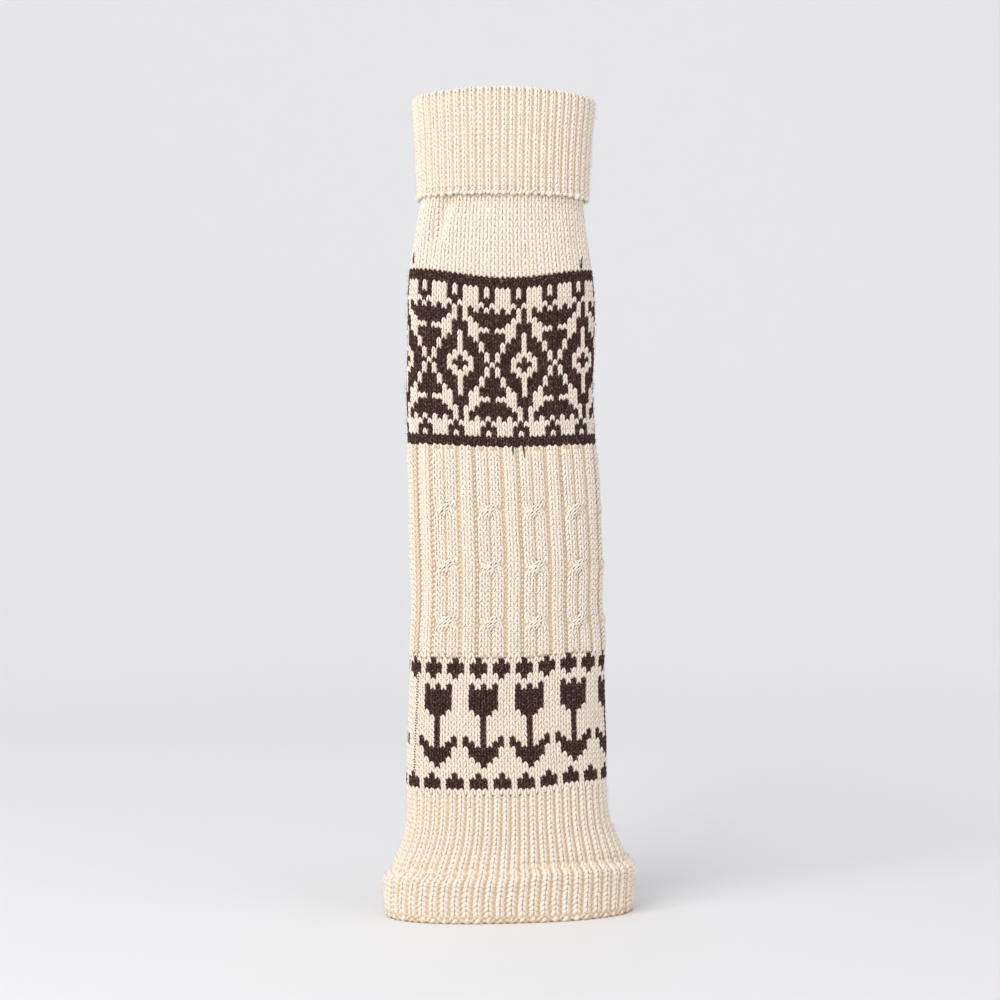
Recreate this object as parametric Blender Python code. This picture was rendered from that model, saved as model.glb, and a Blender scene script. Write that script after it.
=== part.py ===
# A knitted leg warmer that stands upright by itself, open at both ends.
# From the top: a 1x1 rib cuff turned down over itself, a plain neck, a two-colour band,
# a cabled band, a second two-colour band, and a ribbed hem that flares to an upright brim.
# +Z is up, -Y is the front and +X is on the right seen from the front.
# The origin is on the floor, at the middle of the hem.
import math
from collections import namedtuple

import bpy
import numpy as np

MM = 0.001

# Driving sizes, in millimetres
FOLD_HEIGHT = 405.3      # top of the turned cuff at the sides; the front stands higher
CUFF_EDGE = 354.0        # lower edge of the turned-down layer
CUFF_JOIN = 360.0        # where the cuff's inner layer meets the neck, hidden by the cuff
NECK_JOIN = 320.5        # neck to two-colour band
PATTERN_JOIN = 233.0     # two-colour band to cables
CABLE_JOIN = 127.5       # cables to tulip band
HEM_JOIN = 61.5          # tulip band to ribbed hem
SEAM_GAP = 0.3           # between neighbouring pieces
PLAIN_WALL = 2.0         # stocking stitch
RIB_WALL = 2.4           # rib, from the crest to the inside
CUFF_WALL = 2.2          # each of the cuff's two layers
CUFF_SLIT = 0.9          # between the cuff's two layers
FLOOR_BEAD = 3.4         # height of the cast-on edge under the brim
BEAD_INSET = 1.3         # how far the bead's foot stands in from the brim
FOOT_WIDTH = 1.9         # flat underside that the leg warmer stands on
BRIM_RISE = 3.0          # height over which the ribs swell out above the bead
SQUARENESS = 2.3         # superellipse power of every section: 2 is an ellipse

# The knitting
STITCHES = 84            # round the body
FRONT_STITCH = 17.7      # stitches from the seam to the middle of the front
RIBS = 56                # round the cuff and the hem
CUFF_RIB_DEPTH = 0.9
FLARE_RIB_DEPTH = 1.0
BRIM_RIB_DEPTH = 1.3
CUFF_SKEW = 0.2          # stitches from the seam to the cuff's first groove
HEM_SKEW = 0.7           # stitches from the seam to the hem's first groove

# Cables: each repeat is a cable of two strands, then a rib of two stitches between grooves
CABLE_REPEAT = 8         # stitches
FIRST_CABLE = 4          # stitches from the seam to the first cable
CROSSINGS = [145.0, 173.0, 201.0]
CROSSING_REACH = 6.0     # height over which strands close up into a crossing
CABLE_FADE = 6.0         # height over which the relief grows from each join
JOIN_RELIEF = 0.4        # share of the relief left at a join
# Stitch within a repeat, height over the wall between crossings, height at a crossing
CABLE_PROFILE = [
    (0.0, 0.55, 0.2),
    (0.8, 1.0, 0.7),
    (1.6, 0.6, 1.2),
    (2.0, 0.0, 1.35),
    (2.4, 0.6, 1.2),
    (3.2, 1.0, 0.7),
    (4.0, 0.55, 0.2),
    (4.6, -0.5, -0.5),
    (5.1, 0.5, 0.5),
    (6.9, 0.5, 0.5),
    (7.4, -0.5, -0.5),
]
# Stitch from the seam and height over the wall, on the plain rib before the first cable
SEAM_PROFILE = [(0.0, 0.0), (0.6, -0.5), (1.1, 0.5), (2.9, 0.5), (3.4, -0.5)]

# Levels of the rings between the joins
NECK_LEVELS = [328.0, 336.0, 345.0, 353.0]
PATTERN_LEVELS = [252.0, 278.0, 304.0]
CROSSING_STEPS = [-9.0, -4.5, 0.0, 4.5, 9.0]
LAST_CABLE_LEVEL = 221.0
TULIP_LEVELS = [78.0, 95.0, 112.0]
FLARE_LEVELS = [20.5, 23.5, 26.5, 31.0, 37.0, 44.0]
HEM_INSIDE_LEVELS = [46.0, 37.0, 31.0, 26.5, 20.5, 10.0]
BRIM_LEVEL = 16.0
CUFF_LEVELS = [372.0, 388.0]
CUFF_INSIDE_LEVEL = 380.0

EDGE_ROLL = 1.2          # radius of the rolled lower edge of the cuff
PLAIN_POINTS = 56        # points round a plain ring
CURVE_SAMPLES = 1440     # steps used to measure the length round a section
SHARP_ANGLE = 50.0       # degrees

CREAM = (0.84, 0.76, 0.62)
DARK_BROWN = (0.09, 0.045, 0.032)

Section = namedtuple("Section", "height half_width half_depth lean turn droop skew")

# lean: shift along X; turn: degrees about Z; droop: how far the front courses sag;
# skew: how far round the stitches have slipped, counted in stitches
BODY_SECTIONS = [
    Section(62.0, 50.4, 23.6, -1.4, 0.0, 0.0, 0.0),
    Section(82.0, 50.1, 23.0, -1.6, 0.0, 0.0, -0.2),
    Section(104.0, 49.3, 22.7, -1.4, -0.5, 0.0, -0.3),
    Section(136.0, 48.5, 22.3, -0.9, -1.0, 0.0, -0.2),
    Section(154.0, 47.4, 22.2, -1.3, -1.0, 0.6, -0.1),
    Section(172.0, 47.9, 22.4, -1.4, -1.0, 1.2, 0.0),
    Section(190.0, 47.6, 22.3, -2.2, -1.5, 2.2, 0.1),
    Section(208.0, 47.4, 21.8, -2.9, -2.0, 3.2, 0.2),
    Section(233.0, 47.2, 20.5, -3.9, -2.0, 4.6, 0.2),
    Section(256.0, 46.9, 19.6, -4.5, -2.5, 5.6, 0.1),
    Section(285.0, 46.9, 19.2, -4.5, -3.0, 6.8, 0.0),
    Section(310.0, 46.8, 19.2, -4.5, -3.0, 7.8, 0.0),
    Section(322.0, 45.7, 19.4, -4.4, -3.5, 7.6, 0.0),
    Section(334.0, 43.7, 19.4, -4.4, -4.0, 5.5, 0.0),
    Section(346.0, 41.9, 19.2, -4.2, -4.5, 2.5, 0.0),
    Section(354.0, 40.6, 19.0, -3.8, -5.0, 0.6, 0.0),
    Section(362.0, 40.1, 18.8, -3.4, -5.0, 0.0, 0.0),
]
CUFF_SECTIONS = [
    Section(352.0, 43.7, 22.0, -3.4, -5.0, 0.0, 0.0),
    Section(358.0, 43.6, 22.0, -3.4, -5.0, 0.0, 0.0),
    Section(372.0, 44.1, 22.1, -3.4, -5.0, -0.2, 0.0),
    Section(388.0, 45.0, 22.3, -3.2, -5.0, -0.9, 0.0),
    Section(400.0, 46.1, 22.6, -3.1, -5.0, -1.7, 0.0),
    Section(407.0, 46.3, 22.7, -3.1, -5.0, -1.7, 0.0),
]
HEM_SECTIONS = [
    Section(0.0, 62.8, 29.3, 0.0, 0.0, 0.0, -1.2),
    Section(4.0, 63.0, 29.5, 0.0, 0.0, 0.0, -1.2),
    Section(10.0, 63.2, 29.7, 0.0, 0.0, 0.0, -1.2),
    Section(16.0, 62.9, 29.7, 0.2, 0.0, 0.0, -1.1),
    Section(20.5, 62.0, 29.6, 0.6, 0.0, 0.0, -1.1),
    Section(23.5, 60.7, 28.9, 0.9, 0.0, 0.0, -1.0),
    Section(26.5, 59.2, 27.2, 1.0, 0.0, 0.0, -1.0),
    Section(31.0, 56.6, 25.9, 0.8, 0.0, 0.0, -0.9),
    Section(37.0, 53.9, 25.1, 0.2, 0.0, 0.0, -0.6),
    Section(44.0, 51.6, 24.5, -0.6, 0.0, 0.0, -0.3),
    Section(52.0, 50.7, 24.0, -1.1, 0.0, 0.0, -0.1),
    Section(62.0, 50.4, 23.6, -1.4, 0.0, 0.0, 0.0),
]


def section_at(table, height):
    """The section's sizes at a height, read smoothly between the table's rows."""
    rows = np.array(table)
    heights = rows[:, 0]
    slopes = np.gradient(rows, heights, axis=0)
    low = int(np.clip(np.searchsorted(heights, height) - 1, 0, len(heights) - 2))
    span = heights[low + 1] - heights[low]
    t = np.clip((height - heights[low]) / span, 0.0, 1.0)
    start, end = 2 * t**3 - 3 * t**2 + 1, 3 * t**2 - 2 * t**3
    leave, arrive = (t**3 - 2 * t**2 + t) * span, (t**3 - t**2) * span
    mixed = start * rows[low] + end * rows[low + 1]
    mixed += leave * slopes[low] + arrive * slopes[low + 1]
    return Section(*mixed)


def wall_slope(table, height):
    """How far the wall leans in, in radians, as it rises past a height."""
    above, below = section_at(table, height + 1.0), section_at(table, height - 1.0)
    drift = (above.half_width + above.half_depth - below.half_width - below.half_depth) / 4
    return math.atan(-drift)


def ring(table, level, stitches, inset=0.0, lift=0.0, relief=None):
    """Points round the section at a level, one at each stitch position.

    inset moves them in along the section's normal, lift moves them up, and relief
    moves each one out by its own amount.
    """
    section = section_at(table, level)
    angle = np.linspace(-math.pi / 2, 1.5 * math.pi, CURVE_SAMPLES + 1)
    power = 2 / SQUARENESS
    x = section.half_width * np.sign(np.cos(angle)) * np.abs(np.cos(angle)) ** power
    y = section.half_depth * np.sign(np.sin(angle)) * np.abs(np.sin(angle)) ** power
    along = np.concatenate([[0.0], np.cumsum(np.hypot(np.diff(x), np.diff(y)))])
    share = ((np.asarray(stitches) + section.skew - FRONT_STITCH) / STITCHES) % 1.0
    px = np.interp(share * along[-1], along, x)
    py = np.interp(share * along[-1], along, y)
    nx = np.sign(px) * np.abs(px / section.half_width) ** (SQUARENESS - 1) / section.half_width
    ny = np.sign(py) * np.abs(py / section.half_depth) ** (SQUARENESS - 1) / section.half_depth
    size = np.hypot(nx, ny)
    out = (0.0 if relief is None else np.asarray(relief)) - inset
    px, py = px + out * nx / size, py + out * ny / size
    turn = math.radians(section.turn)
    facing = np.cos(2 * math.pi * share)
    sag = section.droop * np.where(facing > 0, 1.0, 0.5) * facing**2
    return np.column_stack([
        px * math.cos(turn) - py * math.sin(turn) + section.lean,
        px * math.sin(turn) + py * math.cos(turn),
        level + lift - sag,
    ])


def plain_stitches():
    return np.arange(PLAIN_POINTS) * STITCHES / PLAIN_POINTS


def rib_stitches(first_groove):
    """Three points to a rib: its groove and the two edges of its crest."""
    ribs = np.repeat(np.arange(RIBS), 3) + np.tile([0.0, 0.3, 0.7], RIBS)
    return ribs * STITCHES / RIBS + first_groove


def rib_relief(depth):
    return np.tile([-depth, 0.0, 0.0], RIBS)


def cable_stitches():
    """Points across the plain start by the seam and across each repeat of cable and rib."""
    starts = range(FIRST_CABLE, STITCHES, CABLE_REPEAT)
    cables = [start + row[0] for start in starts for row in CABLE_PROFILE]
    return np.array([row[0] for row in SEAM_PROFILE] + cables)


def cable_relief(level):
    """Height of the cabled cloth over the plain wall, at each of the cable stitches.

    Two strands lie side by side between crossings, a groove between them. At a
    crossing the strands close up and the cable narrows to one high ridge.
    """
    nearest = min(abs(level - crossing) for crossing in CROSSINGS)
    crossed = max(0.0, 1.0 - (nearest / CROSSING_REACH) ** 2)
    from_join = min(level - CABLE_JOIN, PATTERN_JOIN - level)
    grown = JOIN_RELIEF + (1.0 - JOIN_RELIEF) * min(1.0, from_join / CABLE_FADE)
    cable = [(1.0 - crossed) * apart + crossed * ridge for _, apart, ridge in CABLE_PROFILE]
    repeats = (STITCHES - FIRST_CABLE) // CABLE_REPEAT
    return grown * np.array([height for _, height in SEAM_PROFILE] + cable * repeats)


def loft(name, rings, material, collection):
    """A closed wall through rings given round its outline: up the outside, down the inside.

    Each ring is (stitch positions, points). Two rings with unlike counts are zipped
    together, always stepping on along the ring whose next point comes first.
    """
    points, faces, starts = [], [], []
    for _, place in rings:
        starts.append(len(points))
        points.extend((place * MM).tolist())
    for k, (here, _) in enumerate(rings):
        there = rings[(k + 1) % len(rings)][0]
        a, b = starts[k], starts[(k + 1) % len(rings)]
        if len(here) == len(there):
            count = len(here)
            faces += [
                (a + i, a + (i + 1) % count, b + (i + 1) % count, b + i) for i in range(count)
            ]
            continue
        here_next = np.append(here[1:], here[0] + STITCHES)
        there_next = np.append(there[1:], there[0] + STITCHES)
        i = j = 0
        while i < len(here) or j < len(there):
            step_here = j >= len(there) or (i < len(here) and here_next[i] <= there_next[j])
            from_here, from_there = a + i % len(here), b + j % len(there)
            if step_here:
                i += 1
                faces.append((from_here, a + i % len(here), from_there))
            else:
                j += 1
                faces.append((from_here, b + j % len(there), from_there))
    mesh = bpy.data.meshes.new(name)
    mesh.from_pydata(points, [], faces)
    mesh.validate()
    mesh.shade_smooth()
    mesh.set_sharp_from_angle(angle=math.radians(SHARP_ANGLE))
    mesh.materials.append(material)
    obj = bpy.data.objects.new(name, mesh)
    collection.objects.link(obj)
    return obj


def yarn(name, colour, roughness=0.92):
    material = bpy.data.materials.new(name)
    material.use_nodes = True
    shader = material.node_tree.nodes["Principled BSDF"]
    shader.inputs["Base Color"].default_value = (*colour, 1.0)
    shader.inputs["Roughness"].default_value = roughness
    shader.inputs["Metallic"].default_value = 0.0
    material.diffuse_color = (*colour, 1.0)
    return material


def tube_rings(table, low, high, levels, wall, stitches=None, relief=None):
    """Rings of a tube between two joins, with any relief on the outside alone."""
    outer = plain_stitches() if stitches is None else stitches
    inner = plain_stitches()
    bottom, top = low + SEAM_GAP / 2, high - SEAM_GAP / 2
    rings = []
    for level in [bottom, *levels, top]:
        raised = None if relief is None else relief(level)
        rings.append((outer, ring(table, level, outer, relief=raised)))
    inside = levels if relief is None else levels[1::2]
    for level in [top, *reversed(inside), bottom]:
        rings.append((inner, ring(table, level, inner, inset=wall)))
    return rings


def build_cuff(collection, material):
    """Turned-down cuff: one cloth, up inside, over the fold and down outside."""
    ribs, plain = rib_stitches(CUFF_SKEW), plain_stitches()
    relief = rib_relief(CUFF_RIB_DEPTH)
    slit_outer, slit_inner = CUFF_WALL, CUFF_WALL + CUFF_SLIT
    slit_middle = (slit_inner + slit_outer) / 2
    through = slit_inner + CUFF_WALL
    fold_radius = through / 2
    fold_middle = FOLD_HEIGHT - fold_radius
    straight = fold_middle - EDGE_ROLL   # the layers stand straight up to here
    slit_top = FOLD_HEIGHT - CUFF_WALL
    inner_edge = CUFF_JOIN + SEAM_GAP / 2

    def wall(level, inset, points=plain, raised=None):
        return points, ring(CUFF_SECTIONS, level, points, inset, relief=raised)

    def fold(degrees, points=plain, raised=None):
        angle = math.radians(degrees)
        inset, lift = fold_radius * (1 - math.cos(angle)), fold_radius * math.sin(angle)
        return points, ring(CUFF_SECTIONS, fold_middle, points, inset, lift, raised)

    rings = [
        wall(CUFF_EDGE, 0.6 * EDGE_ROLL, ribs, 0.4 * relief),
        wall(CUFF_EDGE + EDGE_ROLL, 0.0, ribs, 0.7 * relief),
    ]
    rings += [wall(level, 0.0, ribs, relief) for level in [*CUFF_LEVELS, straight]]
    rings += [
        fold(35.0, ribs, 0.8 * relief),
        fold(70.0, ribs, 0.5 * relief),
        fold(115.0),
        fold(150.0),
    ]
    rings += [wall(level, through) for level in (straight, CUFF_INSIDE_LEVEL, inner_edge)]
    slit_shoulder = slit_top - CUFF_SLIT
    rings += [wall(level, slit_inner) for level in (inner_edge, CUFF_INSIDE_LEVEL, slit_shoulder)]
    rings.append(wall(slit_top, slit_middle))
    rings += [wall(level, slit_outer) for level in (slit_shoulder, CUFF_INSIDE_LEVEL)]
    rings += [
        wall(CUFF_EDGE + 0.7 * EDGE_ROLL, slit_outer),
        wall(CUFF_EDGE, slit_outer - 0.4 * EDGE_ROLL),
    ]
    return loft("turned_cuff", rings, material, collection)


def build_hem(collection, material):
    """Ribbed hem: a flare, a soft shoulder, an upright brim and the cast-on edge."""
    ribs, plain = rib_stitches(HEM_SKEW), plain_stitches()
    flare, brim = rib_relief(FLARE_RIB_DEPTH), rib_relief(BRIM_RIB_DEPTH)
    top = HEM_JOIN - SEAM_GAP / 2

    def wall(level, inset=0.0, points=plain, raised=None, lift=0.0):
        return points, ring(HEM_SECTIONS, level, points, inset, lift, raised)

    rings = [
        wall(0.0, BEAD_INSET + FOOT_WIDTH),
        wall(0.0, BEAD_INSET),
        wall(0.5 * FLOOR_BEAD, 0.4 * BEAD_INSET),
        wall(FLOOR_BEAD, BEAD_INSET),
        wall(FLOOR_BEAD + BRIM_RISE / 3, 0.4, ribs, 0.5 * brim),
        wall(FLOOR_BEAD + BRIM_RISE, 0.0, ribs, brim),
        wall(BRIM_LEVEL, 0.0, ribs, brim),
    ]
    rings += [wall(level, 0.0, ribs, flare) for level in [*FLARE_LEVELS, top]]
    rings.append(wall(top, RIB_WALL))
    for level in HEM_INSIDE_LEVELS:
        slope = wall_slope(HEM_SECTIONS, level)
        rings.append(wall(level, RIB_WALL * math.cos(slope), lift=-RIB_WALL * math.sin(slope)))
    return loft("ribbed_hem", rings, material, collection)


def build_leg_warmer():
    for obj in list(bpy.data.objects):
        bpy.data.objects.remove(obj, do_unlink=True)
    collection = bpy.data.collections.new("leg_warmer")
    bpy.context.scene.collection.children.link(collection)

    build_cuff(collection, yarn("turned_cuff", CREAM))
    neck = tube_rings(BODY_SECTIONS, NECK_JOIN, CUFF_JOIN, NECK_LEVELS, PLAIN_WALL)
    loft("plain_neck", neck, yarn("plain_neck", CREAM), collection)
    pattern = tube_rings(BODY_SECTIONS, PATTERN_JOIN, NECK_JOIN, PATTERN_LEVELS, PLAIN_WALL)
    loft("pattern_band", pattern, yarn("pattern_band", DARK_BROWN), collection)
    levels = [crossing + step for crossing in CROSSINGS for step in CROSSING_STEPS]
    cables = tube_rings(
        BODY_SECTIONS, CABLE_JOIN, PATTERN_JOIN, [*levels, LAST_CABLE_LEVEL], PLAIN_WALL,
        cable_stitches(), cable_relief,
    )
    loft("cable_band", cables, yarn("cable_band", CREAM), collection)
    tulips = tube_rings(BODY_SECTIONS, HEM_JOIN, CABLE_JOIN, TULIP_LEVELS, PLAIN_WALL)
    loft("tulip_band", tulips, yarn("tulip_band", CREAM), collection)
    build_hem(collection, yarn("ribbed_hem", CREAM))


build_leg_warmer()
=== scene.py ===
import math
import bpy
import numpy as np
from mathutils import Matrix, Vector


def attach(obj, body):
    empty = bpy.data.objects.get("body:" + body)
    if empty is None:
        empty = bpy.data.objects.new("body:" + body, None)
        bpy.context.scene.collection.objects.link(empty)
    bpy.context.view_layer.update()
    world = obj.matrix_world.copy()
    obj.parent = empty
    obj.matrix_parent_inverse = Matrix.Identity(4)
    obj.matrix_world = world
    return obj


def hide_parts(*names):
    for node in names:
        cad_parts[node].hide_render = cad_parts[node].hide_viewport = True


# Knitted leg warmer standing on its hem: every stitch is a pair of yarn legs laid on a thin cloth.
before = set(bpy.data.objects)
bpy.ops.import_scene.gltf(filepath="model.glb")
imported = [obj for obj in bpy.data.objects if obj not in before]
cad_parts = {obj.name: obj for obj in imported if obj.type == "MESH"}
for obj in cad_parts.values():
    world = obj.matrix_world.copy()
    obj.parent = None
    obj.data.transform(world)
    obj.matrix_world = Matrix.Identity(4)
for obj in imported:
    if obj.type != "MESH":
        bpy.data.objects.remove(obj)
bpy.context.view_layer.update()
rng = np.random.default_rng(7)
mm = 0.001
pieces = {}

# camera: at the front, a little to the left and at half height
view = dict(distance=0.9, height=0.195, aimHeight=0.205, turn=-8.0, shift=-0.0049, lens=64.8)
turn = math.radians(view["turn"])
toward = Vector((math.sin(turn), -math.cos(turn), 0))
right = Vector((math.cos(turn), math.sin(turn), 0))
aim = right * view["shift"] + Vector((0, 0, view["aimHeight"]))
eye = right * view["shift"] + toward * view["distance"] + Vector((0, 0, view["height"]))
bpy.ops.object.camera_add(location=eye, rotation=(aim - eye).to_track_quat("-Z", "Y").to_euler())
camera = bpy.context.object
camera.data.lens = view["lens"]
camera.data.sensor_width = 36
camera.data.dof.use_dof = False
bpy.context.scene.camera = camera
bpy.context.scene.view_settings.view_transform = "Standard"
print("camera placed")

# sections from the floor up: height, half width, half depth, lean, turn, droop of the front
# courses and how far round the stitches have slipped
stitchesRound = 84
frontStitch = 17.7  # the stitch at the middle of the front, counted from the seam
squareness = 2.3
outlinePoints = 1441
bodySections = np.array([
    (62, 50.4, 23.6, -1.4, 0, 0, 0), (82, 50.1, 23.0, -1.6, 0, 0, -.2),
    (104, 49.3, 22.7, -1.4, -.5, 0, -.3), (136, 48.5, 22.3, -.9, -1, 0, -.2),
    (154, 47.4, 22.2, -1.3, -1, .6, -.1), (172, 47.9, 22.4, -1.4, -1, 1.2, 0),
    (190, 47.6, 22.3, -2.2, -1.5, 1.2, .1), (208, 47.4, 21.8, -2.9, -2, 1.8, .2),
    (233, 47.2, 20.5, -3.9, -2, 2.6, .2), (256, 46.9, 19.6, -4.5, -2.5, 4.2, .1),
    (285, 46.9, 19.2, -4.5, -3, 6.2, 0), (310, 46.8, 19.2, -4.5, -3, 7.8, 0),
    (322, 45.7, 19.4, -4.4, -3.5, 7.6, 0), (334, 43.7, 19.4, -4.4, -4, 5.5, 0),
    (346, 41.9, 19.2, -4.2, -4.5, 2.5, 0), (354, 40.6, 19.0, -3.8, -5, .6, 0),
    (362, 40.1, 18.8, -3.4, -5, 0, 0)])
cuffSections = np.array([
    (352, 43.7, 22, -3.4, -5, 0, 0), (358, 43.6, 22, -3.4, -5, 0, 0),
    (372, 44.1, 22.1, -3.4, -5, -.2, 0), (388, 45, 22.3, -3.2, -5, -.9, 0),
    (400, 46.1, 22.6, -3.1, -5, -2.9, 0), (407, 46.3, 22.7, -3.1, -5, -3.1, 0)])
hemSections = np.array([
    (0, 62.8, 29.3, 0, 0, 0, -1.2), (4, 63, 29.5, 0, 0, 0, -1.2), (10, 63.2, 29.7, 0, 0, 0, -1.2),
    (16, 62.9, 29.7, .2, 0, 0, -1.1), (20.5, 62, 29.6, .6, 0, 0, -1.1),
    (23.5, 60.7, 28.9, .9, 0, 0, -1), (26.5, 59.2, 27.2, 1, 0, 0, -1),
    (31, 56.6, 25.9, .8, 0, 0, -.9), (37, 53.9, 25.1, .2, 0, 0, -.6),
    (44, 51.6, 24.5, -.6, 0, 0, -.3), (52, 50.7, 24.0, -1.1, 0, 0, -.1),
    (62, 50.4, 23.6, -1.4, 0, 0, 0)])
# share of the droop at the sides, in front and behind, and how far the tulip courses climb on the right
courses = dict(sides=.16, front=.76, behind=.5, climb=2.3)


def sectionAt(table, height):
    heights = table[:, 0]
    slopes = np.gradient(table, heights, axis=0)
    low = int(np.clip(np.searchsorted(heights, height) - 1, 0, len(heights) - 2))
    span = heights[low + 1] - heights[low]
    t = np.clip((height - heights[low]) / span, 0, 1)
    start, end = 2 * t**3 - 3 * t**2 + 1, 3 * t**2 - 2 * t**3
    leave, arrive = (t**3 - 2 * t**2 + t) * span, (t**3 - t**2) * span
    return start * table[low] + end * table[low + 1] + leave * slopes[low] + arrive * slopes[low + 1]


def ringOf(table, level, stitches, inset=0.0, lift=0.0):
    _, halfWidth, halfDepth, lean, twist, droop, slip = sectionAt(table, level)
    angle = np.linspace(-math.pi / 2, 1.5 * math.pi, outlinePoints)
    power = 2 / squareness
    x = halfWidth * np.sign(np.cos(angle)) * np.abs(np.cos(angle)) ** power
    y = halfDepth * np.sign(np.sin(angle)) * np.abs(np.sin(angle)) ** power
    run = np.concatenate([[0], np.cumsum(np.hypot(np.diff(x), np.diff(y)))])
    share = ((stitches + slip - frontStitch) / stitchesRound) % 1
    px, py = np.interp(share * run[-1], run, x), np.interp(share * run[-1], run, y)
    nx = np.sign(px) * np.abs(px / halfWidth) ** (squareness - 1) / halfWidth
    ny = np.sign(py) * np.abs(py / halfDepth) ** (squareness - 1) / halfDepth
    size = np.hypot(nx, ny)
    px, py = px - inset * nx / size, py - inset * ny / size
    twist = math.radians(twist)
    front = np.cos(2 * math.pi * share)
    depth = courses["front"] * np.where(front > 0, 1, courses["behind"])
    sag = droop * (courses["sides"] + depth * front**2)
    climb = np.clip((share - .03) / .09, 0, 1) * np.clip((.62 - share) / .3, 0, 1)
    low, high = np.clip((level - 30) / 30, 0, 1), np.clip((150 - level) / 25, 0, 1)
    sag = sag - courses["climb"] * climb * low * high
    return np.column_stack([px * math.cos(twist) - py * math.sin(twist) + lean,
                            px * math.sin(twist) + py * math.cos(twist), level + lift - sag])


gridStep = 8  # grid columns to a stitch
ribWidth = 1.5  # in stitches of the body


def facing(points, along):
    # normals of a net that closes on itself
    wrapped = np.concatenate([points[:, -2:-1], points, points[:, 1:2]], axis=1)
    normals = np.cross(wrapped[:, 2:] - wrapped[:, :-2], np.gradient(points, along, axis=0))
    return normals / np.linalg.norm(normals, axis=2)[..., None]


def measureCloth(steps, creases=None):
    # a fine net of points over the cloth, one row for each step from its lower edge up
    around = np.arange(stitchesRound * gridStep + 1) / gridStep
    points = np.array([ringOf(table, level, around, inset, lift) for table, level, inset, lift in steps])
    lengths = np.linalg.norm(np.diff(points, axis=0), axis=2).mean(axis=1)
    along = np.concatenate([[0], np.cumsum(lengths)])
    if creases:
        level = np.array([step[1] for step in steps])[:, None]
        points = points + facing(points, along) * creases(around[None], level)[..., None]
    return dict(points=points, normals=facing(points, along), along=along)


def onCloth(cloth, around, along, out):
    row = np.interp(along, cloth["along"], np.arange(len(cloth["along"])))
    column = (around % stitchesRound) * gridStep
    r = np.clip(row.astype(int), 0, len(cloth["along"]) - 2)
    c = np.clip(column.astype(int), 0, stitchesRound * gridStep - 1)
    fr, fc = (row - r)[..., None], (column - c)[..., None]

    def mix(table):
        return ((1 - fr) * ((1 - fc) * table[r, c] + fc * table[r, c + 1])
                + fr * ((1 - fc) * table[r + 1, c] + fc * table[r + 1, c + 1]))
    return mix(cloth["points"]) + mix(cloth["normals"]) * np.asarray(out)[..., None]


def hollow(around, level, middle, height, wide, tall, depth):
    # a soft trough, or a ridge where the depth is negative
    gap = (around - middle + stitchesRound / 2) % stitchesRound - stitchesRound / 2
    return -depth * np.exp(-(gap / wide) ** 2 - ((level - height) / tall) ** 2)


# neck troughs: round from the seam, height, width in stitches, height over which each fades, depth
neckCreases = [
    (4.6, 343, 1.5, 12, 3.8), (7.6, 343, 1.5, 12, -.9), (2.2, 340, 1.2, 11, -.5),
    (27.5, 343, 1.8, 9, .5), (33, 335, 2.0, 11, .8), (45, 341, 2.1, 11, 1.0),
    (56, 337, 1.8, 13, .7), (69, 343, 2.2, 10, .8), (78, 336, 1.7, 9, .6)]
creaseSlope = .09  # stitches round for each millimetre up
neckSwell = dict(level=357.5, tall=3.2, out=.8)  # the neck fills out again inside the cuff
# the soft shelf over the brim: its height, the rolled rim below it and the furrow above
shelf = dict(level=25.5, rim=1.15, rimBelow=4.3, rimTall=3.0, furrow=1.4, furrowAbove=.8, furrowTall=2.1)


def bodyCreases(around, level):
    turns = around * 2 * math.pi / stitchesRound
    soft = .22 * np.sin(3 * turns + level / 17) + .16 * np.sin(5 * turns - level / 11 + 1)
    soft = soft + neckSwell["out"] * np.exp(-((level - neckSwell["level"]) / neckSwell["tall"]) ** 2)
    for crease in neckCreases:
        soft = soft + hollow(around - (level - crease[1]) * creaseSlope, level, *crease)
    return soft


def hemCreases(around, level):
    turns = around * 2 * math.pi / stitchesRound
    edge = shelf["level"] + 2.6 * np.sin(turns - 1.6) + .9 * np.sin(4 * turns + .4) + .5 * np.sin(9 * turns)
    soft = .15 * np.sin(4 * turns + level / 9)
    rim = shelf["rim"] * np.exp(-((level - edge + shelf["rimBelow"]) / shelf["rimTall"]) ** 2)
    furrow = np.exp(-((level - edge - shelf["furrowAbove"]) / shelf["furrowTall"]) ** 2)
    return soft + rim - shelf["furrow"] * furrow


bodyLevels = np.arange(56, 366, 2.0)
bodyCloth = measureCloth([(bodySections, z, 0, 0) for z in bodyLevels], bodyCreases)
bodyCloth["along"] = bodyLevels
hemLevels = np.concatenate([np.arange(0, 36, .75), np.arange(36, 67, 1.5)])
hemCloth = measureCloth([(hemSections, z, 0, 0) for z in hemLevels], hemCreases)

# the cuff goes up outside from its edge, over the fold and down again inside
fold = dict(radius=2.65, level=402.65, steps=13)
outerLevels = np.arange(352, fold["level"], 1.5)
innerLevels = np.arange(fold["level"] - 1.5, 357, -1.5)
edgeTuck = dict(depth=1.8, top=359, tall=7)  # the edge draws in towards the neck


def tuckAt(level):
    return edgeTuck["depth"] * max(0, (edgeTuck["top"] - level) / edgeTuck["tall"]) ** 2


cuffSteps = [(cuffSections, z, tuckAt(z), 0) for z in outerLevels]
for angle in np.linspace(0, math.pi, fold["steps"]):
    inward, up = fold["radius"] * (1 - math.cos(angle)), fold["radius"] * math.sin(angle)
    cuffSteps.append((cuffSections, fold["level"], inward, up))
cuffSteps += [(cuffSections, z, 2 * fold["radius"], 0) for z in innerLevels]
cuffCloth = measureCloth(cuffSteps)
print("cloth surfaces measured")


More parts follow.
